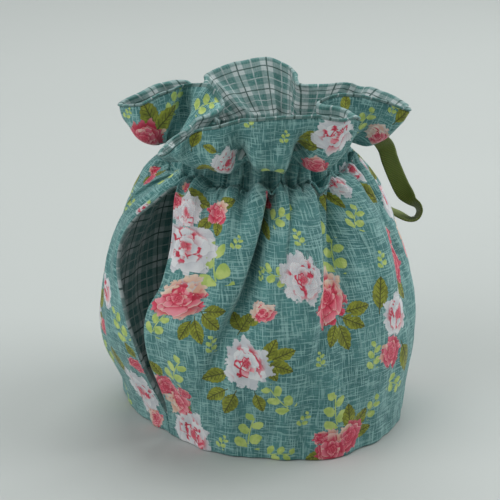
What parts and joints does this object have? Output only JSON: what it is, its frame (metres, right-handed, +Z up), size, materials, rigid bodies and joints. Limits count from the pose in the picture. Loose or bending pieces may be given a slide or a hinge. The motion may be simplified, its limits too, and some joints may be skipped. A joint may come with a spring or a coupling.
{
  "type": "tea cosy",
  "caption": "Gathered floral cotton tea cosy with a checked lining, slits for spout and handle, a drawstring neck and a soft frill above it.",
  "frame": {"origin": "middle of the cloth's bounding box, on the surface that the hem rests on", "axes": "+Z up; the slit for the spout faces -X, the slit for the handle faces +X, and the front panel faces -Y"},
  "size_m": [0.1831, 0.1682, 0.1769],
  "materials": {
    "floral_cotton": "matt printed cotton, teal with roses and leaves",
    "checked_cotton": "matt cotton, teal and white checks",
    "grosgrain": "olive green ribbed ribbon with a slight sheen"
  },
  "bodies": {
    "root": {"outer_front": "floral_cotton", "outer_back": "floral_cotton", "lining_front": "checked_cotton", "lining_back": "checked_cotton", "drawstring_ribbon": "grosgrain"}
  },
  "joints": []
}
